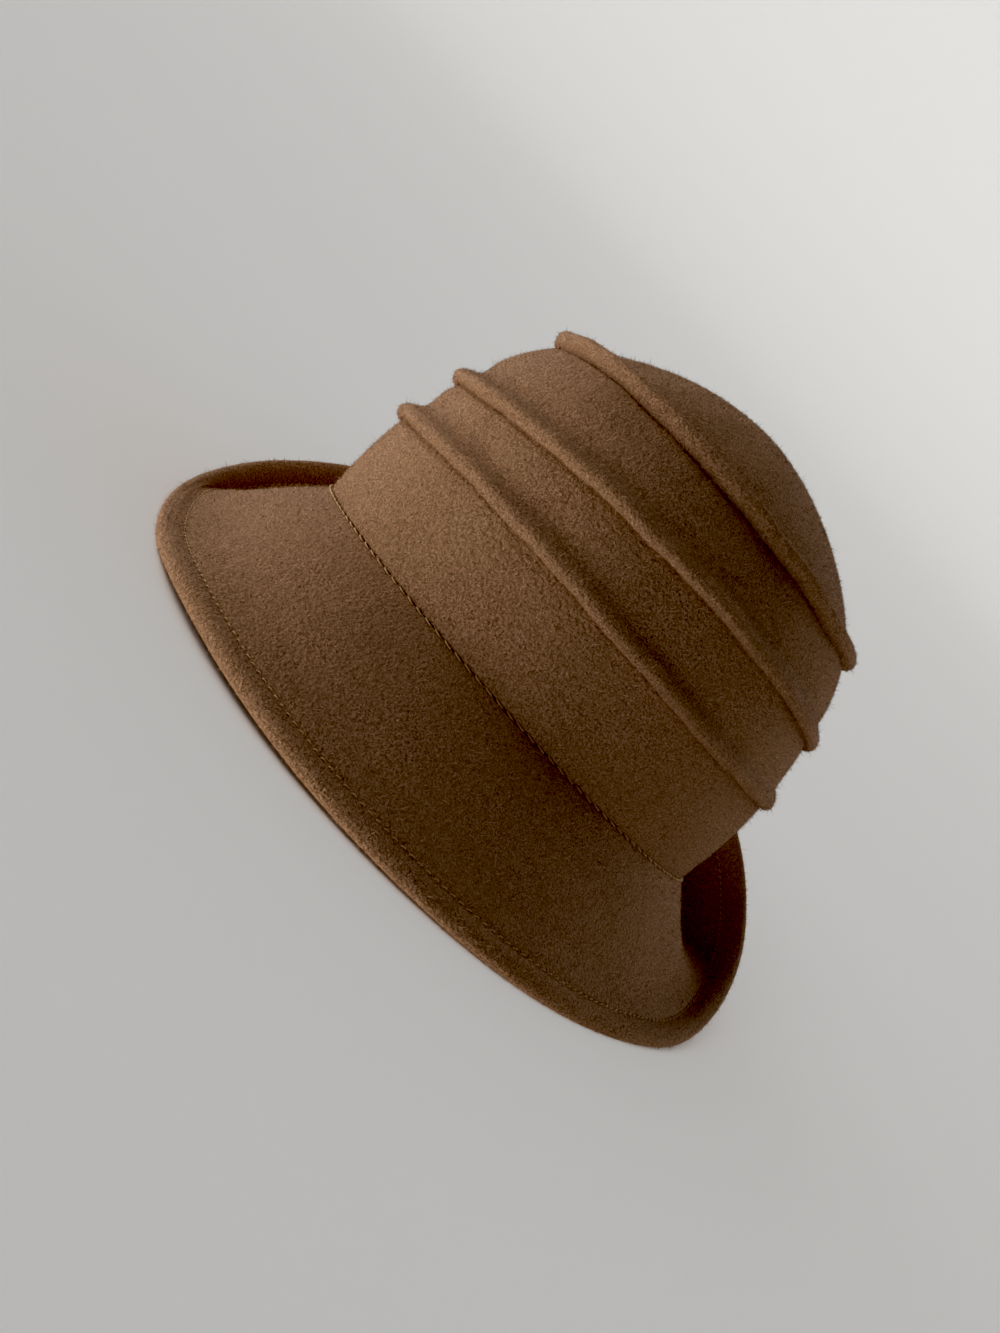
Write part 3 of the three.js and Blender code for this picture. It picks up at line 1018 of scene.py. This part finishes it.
class ClocheStudio(bpy.types.PropertyGroup):
    """Strength of the studio's lights and where the camera stands from the upright hat."""

    key_power: power_setting("Key", "Soft light low at the back left", 9.8)
    bounce_power: power_setting("Bounce", "Light thrown up from the floor at the front left", 19.0)
    top_power: power_setting("Top", "Soft light over the left side", 6.0)
    back_power: power_setting("Back", "Soft light low behind the hat's right side", 6.0)
    sweep_strength: strength_setting("Sweep", "Even light from above on the sweep alone", 1.4)
    wall_strength: strength_setting("Wall", "Even light on the sweep's back wall alone", 1.8)
    view_azimuth: bpy.props.FloatProperty(
        name="View azimuth",
        description="Camera round the hat, from the front towards the right",
        default=math.radians(6.5),
        unit="ROTATION",
        subtype="ANGLE",
    )
    view_elevation: bpy.props.FloatProperty(
        name="View elevation",
        description="Camera above the upright hat's level",
        default=math.radians(3.08),
        unit="ROTATION",
        subtype="ANGLE",
    )
    view_roll: bpy.props.FloatProperty(
        name="View roll",
        description="How far the crown leans to the right in the picture",
        default=math.radians(47),
        unit="ROTATION",
        subtype="ANGLE",
    )
    view_distance: length_setting("View distance", "From the lens to the hat's middle", 0.95)
    lens: bpy.props.FloatProperty(
        name="Lens", description="Focal length on a 36 mm frame", default=79.1, unit="CAMERA"
    )


# ---------------------------------------------------------------- pieces


class CLOCHE_OT_felt_crown(bpy.types.Operator):
    """Crown: one wall of felt with three pintucks laid down towards the brim, open below"""

    bl_idname = "cloche.felt_crown"
    bl_label = "Felt crown"

    def execute(self, context):
        points, tips, outer_rows = crown_surface(angles_round(), context.scene.cloche_sizes)
        columns, rows = points.shape[:2]
        faces = ring_faces(columns, rows, True).reshape(columns, rows, 4)
        uvs = ring_uvs(columns, row_heights(points), True).reshape(columns, rows, 4, 2)

        # The quads that would join the outer skin to the inner one across the tip become two fans
        across = outer_rows - 1
        walls = np.delete(faces, across, axis=1).reshape(-1, 4).tolist()
        wall_uvs = np.delete(uvs, across, axis=1).reshape(-1, 2)
        outer_tip = columns * rows
        inner_tip = outer_tip + 1
        outer_fan = [(int(a), int(b), outer_tip) for a, b, _, _ in faces[:, across]]
        inner_fan = [(inner_tip, int(c), int(d)) for _, _, c, d in faces[:, across]]
        a, b, c, d = (uvs[:, across, corner] for corner in range(4))
        middle = (a + b + c + d) / 4
        outer_uvs = np.stack([a, b, middle], 1).reshape(-1, 2)
        inner_uvs = np.stack([middle, c, d], 1).reshape(-1, 2)
        piece = mesh_object(
            "felt_crown",
            np.concatenate([points.reshape(-1, 3), tips]),
            walls + outer_fan + inner_fan,
            velour(context),
            np.concatenate([wall_uvs, outer_uvs, inner_uvs]),
        )
        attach(piece, "root")
        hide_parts("crown")
        return {"FINISHED"}


class CLOCHE_OT_felt_brim(bpy.types.Operator):
    """Brim: felt sewn under the crown, turned under on itself at the edge"""

    bl_idname = "cloche.felt_brim"
    bl_label = "Felt brim"

    def execute(self, context):
        sizes = context.scene.cloche_sizes
        parts = brim_surfaces(angles_round(), sizes)
        points = np.concatenate(
            [parts["under"], parts["nose"], parts["over"][:, ::-1], parts["collar"]], axis=1
        )
        points = set_down(points, sizes)
        columns, rows = points.shape[:2]
        piece = mesh_object(
            "felt_brim",
            points.reshape(-1, 3),
            ring_faces(columns, rows, True),
            velour(context),
            ring_uvs(columns, row_heights(points), True),
        )
        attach(piece, "root")
        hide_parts("brim")
        return {"FINISHED"}


class CLOCHE_OT_stitching(bpy.types.Operator):
    """Stitches: one row where the crown is sewn to the brim, and one on each side of the hem"""

    bl_idname = "cloche.stitching"
    bl_label = "Stitching"

    def execute(self, context):
        sizes = context.scene.cloche_sizes
        angles = angles_round()
        thread = sewing_thread(context.scene.cloche_colours)

        band_up = line_at(SEAM_LINE, angles) + np.array(SEAM_BAND)[:, None]
        band = crown_points(angles, band_up, np.full_like(band_up, SEAM_BAND_OUT))
        band = set_down(leaned(band.transpose(1, 0, 2)), sizes)
        seam = stitches(band[:, 1], surface_normals(band)[:, 1], sizes.seam_pitch, SEAM_STITCH)

        parts = brim_surfaces(angles, sizes)
        hem = sizes.hem_width / MM
        row = BRIM_ROWS + int(np.argmin(np.abs(np.array(HEM_INSETS) - hem)))
        over = set_down(parts["over"], sizes)
        under = set_down(parts["under"], sizes)
        over_normals = -surface_normals(over)[:, row]
        under_normals = surface_normals(under)[:, row]
        top = stitches(over[:, row], over_normals, sizes.hem_pitch, HEM_STITCH)
        below = stitches(under[:, row], under_normals, sizes.hem_pitch, HEM_STITCH)

        for name, lines in (
            ("seam_stitches", seam),
            ("hem_stitches", top),
            ("hem_stitches_under", below),
        ):
            vertices, faces = threads(lines, sizes.thread_radius)
            piece = mesh_object(name, vertices, faces, thread)
            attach(piece, "root")
        return {"FINISHED"}


class CLOCHE_OT_nap(bpy.types.Operator):
    """Nap: the loose fibre ends that stand off the crown and the brim"""

    bl_idname = "cloche.nap"
    bl_label = "Nap"

    def execute(self, context):
        sizes = context.scene.cloche_sizes
        colours = context.scene.cloche_colours
        # A third of the fibres each take painted light (fibre_light), the felt's own colour, and painted
        # shade (felt_shade)
        shades = (
            wool_fibre("wool_fibre_painted_light", colours.fibre_light),
            wool_fibre("wool_fibre_body", colours.felt_body),
            wool_fibre("wool_fibre_painted_shade", colours.felt_shade),
        )
        angles = angles_round()
        up, out = crown_outside(angles, sizes.tuck_height)
        crown = set_down(leaned(crown_points(angles, up, out).transpose(1, 0, 2)), sizes)
        parts = brim_surfaces(angles, sizes)
        brim = np.concatenate([parts["under"], parts["nose"], parts["over"][:, ::-1]], axis=1)
        brim = set_down(brim, sizes)
        for name, surface, seed in (("crown_nap", crown, NAP_SEED), ("brim_nap", brim, NAP_SEED + 1)):
            corners = fibres(surface, NAP_FIBRES, sizes, seed)
            faces = np.arange(len(corners) * 3).reshape(-1, 3)
            piece = mesh_object(name, corners.reshape(-1, 3), faces, shades[0])
            for shade in shades[1:]:
                piece.data.materials.append(shade)
            shade_of_fibre = np.arange(len(faces), dtype=np.int32) % len(shades)
            piece.data.polygons.foreach_set("material_index", shade_of_fibre)
            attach(piece, "root")
        return {"FINISHED"}


def velour(context):
    """The felt's material, made once for both felt pieces."""
    return bpy.data.materials.get("wool_felt_velour") or velour_felt(context.scene.cloche_colours)


# ---------------------------------------------------------------- studio


def bearing(azimuth, elevation):
    """Unit vector at an azimuth from the front towards the right and an elevation, in radians."""
    level = math.cos(elevation)
    return np.array([math.sin(azimuth) * level, -math.cos(azimuth) * level, math.sin(elevation)])


def soft_light(name, power, size, azimuth, elevation, distance):
    """A square soft light aimed at the hat's middle, which the camera doesn't see."""
    middle = Vector((CAD_BOX[0] + CAD_BOX[1]) / 2)
    away = Vector(bearing(math.radians(azimuth), math.radians(elevation)))
    lamp = bpy.data.lights.new(name, "AREA")
    lamp.shape = "SQUARE"
    lamp.size = size
    lamp.energy = power
    light = bpy.data.objects.new(name, lamp)
    light.location = middle + away * distance
    light.rotation_euler = away.to_track_quat("Z", "Y").to_euler()
    light.visible_camera = False
    bpy.context.scene.collection.objects.link(light)
    return light


def even_light(name, strength, spread, elevation):
    """Light as even as an overcast sky's, from a wide patch of it over the front."""
    lamp = bpy.data.lights.new(name, "SUN")
    lamp.energy = strength
    lamp.angle = math.radians(spread)
    light = bpy.data.objects.new(name, lamp)
    light.rotation_euler = (math.radians(90 - elevation), 0, 0)
    bpy.context.scene.collection.objects.link(light)
    return light


def sweep_profile():
    """Radius and height of the sweep: a flat floor, a round cove and an upright wall."""
    radii = list(np.linspace(0.02, SWEEP_FLOOR, SWEEP_ROWS))
    heights = [0.0] * SWEEP_ROWS
    for i in range(1, SWEEP_ROWS + 1):
        turn = math.pi / 2 * i / SWEEP_ROWS
        radii.append(SWEEP_FLOOR + SWEEP_COVE * math.sin(turn))
        heights.append(SWEEP_COVE * (1 - math.cos(turn)))
    radii.append(SWEEP_FLOOR + SWEEP_COVE)
    heights.append(SWEEP_WALL)
    return np.array(radii), np.array(heights)


def studio_sweep(colours):
    """The floor and the sweep round it, as one surface."""
    radii, heights = sweep_profile()
    turn = 2 * math.pi * np.arange(SWEEP_COLUMNS)[:, None] / SWEEP_COLUMNS
    levels = np.broadcast_to(heights, (SWEEP_COLUMNS, len(radii))) + CAD_BOX[0][2]
    points = np.stack([radii * np.cos(turn), radii * np.sin(turn), levels], -1)
    faces = ring_faces(SWEEP_COLUMNS, len(radii), False).tolist()
    faces.append(tuple(i * len(radii) for i in range(SWEEP_COLUMNS)))
    sweep = mesh_object("studio_sweep", points.reshape(-1, 3), faces, painted_board(colours))
    return sweep


def light_studio(studio, sweep):
    """Lights for the hat alone and for the sweep alone, so that each can be even."""
    only_sweep = bpy.data.collections.new("only_sweep")
    only_sweep.objects.link(sweep)
    all_but_sweep = bpy.data.collections.new("all_but_sweep")
    all_but_sweep.objects.link(sweep)
    all_but_sweep.collection_objects[0].light_linking.link_state = "EXCLUDE"
    for name, power, size, azimuth, elevation, distance in (
        ("key_light", studio.key_power, 0.8, -125, 5, 1.3),
        ("bounce_light", studio.bounce_power, 1.1, -45, -40, 1.6),
        ("top_light", studio.top_power, 0.8, -90, 40, 1.3),
        ("back_light", studio.back_power, 0.8, 150, 26, 1.3),
    ):
        light = soft_light(name, power, size, azimuth, elevation, distance)
        light.light_linking.receiver_collection = all_but_sweep
        # The bounce is what a lit floor throws up, here brighter and from further off than it
        # could be, so it stands below the floor and the floor doesn't block it
        if elevation < 0:
            light.light_linking.blocker_collection = all_but_sweep
    for name, strength, spread, elevation in (
        ("sweep_light", studio.sweep_strength, 175, 90),
        ("wall_light", studio.wall_strength, 60, 25),
    ):
        light = even_light(name, strength, spread, elevation)
        light.light_linking.receiver_collection = only_sweep


def studio_camera(studio, sizes):
    """The camera, placed from the upright hat and leaned with it."""
    back = bearing(studio.view_azimuth, studio.view_elevation)
    right = np.array([math.cos(studio.view_azimuth), math.sin(studio.view_azimuth), 0.0])
    top = np.cross(back, right)
    roll = studio.view_roll
    axes = np.array(
        [
            math.cos(roll) * right + math.sin(roll) * top,
            -math.sin(roll) * right + math.cos(roll) * top,
            back,
        ]
    )
    aim = np.array([0, 0, AIM_UP]) + AIM_RIGHT * right
    lens_at = set_down(leaned(aim + studio.view_distance / MM * back), sizes)
    data = bpy.data.cameras.new("camera")
    data.lens = studio.lens
    data.sensor_width = 36
    data.clip_start = 0.05
    data.clip_end = 20
    camera = bpy.data.objects.new("camera", data)
    turned = Matrix(leaned(axes).tolist()).transposed().to_4x4()
    camera.matrix_world = Matrix.Translation(Vector(lens_at)) @ turned
    bpy.context.scene.collection.objects.link(camera)
    return camera


class CLOCHE_OT_studio(bpy.types.Operator):
    """Studio: a pale floor with its sweep, soft lights and the camera"""

    bl_idname = "cloche.studio"
    bl_label = "Studio"

    def execute(self, context):
        scene = context.scene
        light_studio(scene.cloche_studio, studio_sweep(scene.cloche_colours))
        world = bpy.data.worlds.new("studio_room")
        world.use_nodes = True
        background = world.node_tree.nodes["Background"]
        background.inputs["Color"].default_value = (1.0, 1.0, 1.0, 1.0)
        background.inputs["Strength"].default_value = ROOM_LIGHT
        scene.world = world
        scene.view_settings.view_transform = "Standard"
        scene.view_settings.use_curve_mapping = True
        scene.view_settings.curve_mapping.black_level = (BLACK_LEVEL,) * 3
        scene.camera = studio_camera(scene.cloche_studio, scene.cloche_sizes)
        return {"FINISHED"}


class CLOCHE_PT_panel(bpy.types.Panel):
    """Lists the hat's pieces and the settings that they are made from"""

    bl_idname = "CLOCHE_PT_panel"
    bl_label = "Felt cloche hat"
    bl_space_type = "VIEW_3D"
    bl_region_type = "UI"
    bl_category = "Cloche"

    def draw(self, context):
        layout = self.layout
        for group_name in GROUPS:
            group = getattr(context.scene, group_name)
            box = layout.box()
            for name in group.__annotations__:
                box.prop(group, name)
        for operator in OPERATORS:
            layout.operator(operator.bl_idname)


GROUPS = {
    "cloche_sizes": ClocheSizes,
    "cloche_colours": ClocheColours,
    "cloche_studio": ClocheStudio,
}
OPERATORS = (
    CLOCHE_OT_felt_crown,
    CLOCHE_OT_felt_brim,
    CLOCHE_OT_stitching,
    CLOCHE_OT_nap,
    CLOCHE_OT_studio,
)


def register():
    for name, group in GROUPS.items():
        bpy.utils.register_class(group)
        setattr(bpy.types.Scene, name, bpy.props.PointerProperty(type=group))
    for operator in OPERATORS:
        bpy.utils.register_class(operator)
    bpy.utils.register_class(CLOCHE_PT_panel)


def unregister():
    bpy.utils.unregister_class(CLOCHE_PT_panel)
    for operator in reversed(OPERATORS):
        bpy.utils.unregister_class(operator)
    for name, group in GROUPS.items():
        delattr(bpy.types.Scene, name)
        bpy.utils.unregister_class(group)


def main():
    """Builds every piece and the studio."""
    register()
    bpy.ops.cloche.felt_crown()
    bpy.ops.cloche.felt_brim()
    bpy.ops.cloche.stitching()
    bpy.ops.cloche.nap()
    bpy.ops.cloche.studio()


if __name__ == "__main__":
    main()
